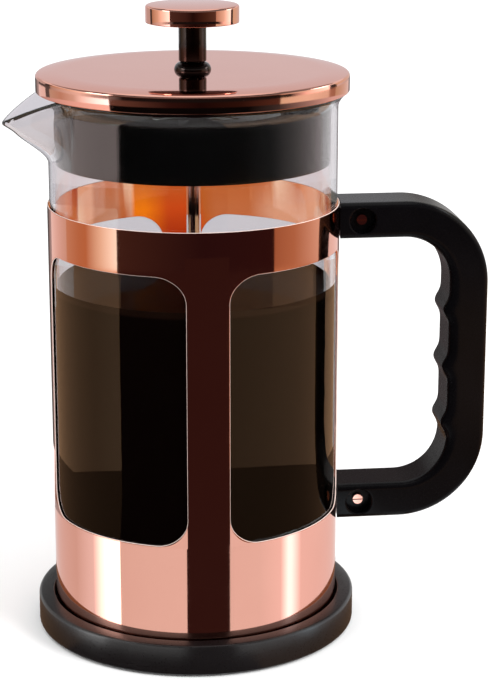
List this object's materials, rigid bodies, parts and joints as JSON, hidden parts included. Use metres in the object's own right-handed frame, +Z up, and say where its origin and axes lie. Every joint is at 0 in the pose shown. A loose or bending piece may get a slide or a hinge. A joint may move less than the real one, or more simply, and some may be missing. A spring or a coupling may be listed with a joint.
{
  "type": "french press",
  "caption": "Glass press coffee maker in a polished metal frame with a plastic base and handle, a lift-off lid and a sliding plunger with a mesh filter.",
  "frame": {"origin": "centre of the round base, on the surface that the base mat stands on", "axes": "+Z up along the beaker's axis, +X towards the handle, -X towards the pouring lip"},
  "size_m": [0.1697, 0.1146, 0.2231],
  "materials": {
    "copper": "mirror-polished copper plating on steel",
    "glass": "clear borosilicate glass",
    "base_plastic": "fine-textured black plastic",
    "handle_plastic": "satin black plastic",
    "insert_plastic": "semi-gloss black plastic",
    "silicone": "matt silicone",
    "gunmetal": "dark polished plating on steel",
    "steel": "polished stainless steel"
  },
  "bodies": {
    "frame": {"frame_shell": "copper", "base_tray": "base_plastic", "base_mat": "silicone", "base_screws": "steel", "glass_pad": "silicone", "handle": "handle_plastic", "upper_lug": "steel", "lower_lug": "steel", "upper_handle_screw": "copper", "lower_handle_screw": "copper", "upper_handle_nut": "steel", "lower_handle_nut": "steel"},
    "beaker": {"beaker": "glass"},
    "lid": {"lid_cap": "copper", "lid_insert": "insert_plastic", "lid_bush": "steel", "lid_washer": "steel", "lid_collar": "gunmetal"},
    "plunger": {"knob_disc": "copper", "knob_stem": "gunmetal", "plunger_rod": "steel", "lock_nut": "steel", "spiral_plate": "steel", "edge_spring": "steel", "mesh_screen": "steel", "cross_plate": "steel"}
  },
  "joints": [
    {"name": "beaker_lift", "type": "slide", "parent": "frame", "child": "beaker", "axis": [0, 0, 1], "range_m": [0, 0.16]},
    {"name": "lid_lift", "type": "slide", "parent": "beaker", "child": "lid", "axis": [0, 0, 1], "range_m": [0, 0.19]},
    {"name": "plunger_slide", "type": "slide", "parent": "lid", "child": "plunger", "axis": [0, 0, 1], "range_m": [0, 0.144]}
  ]
}
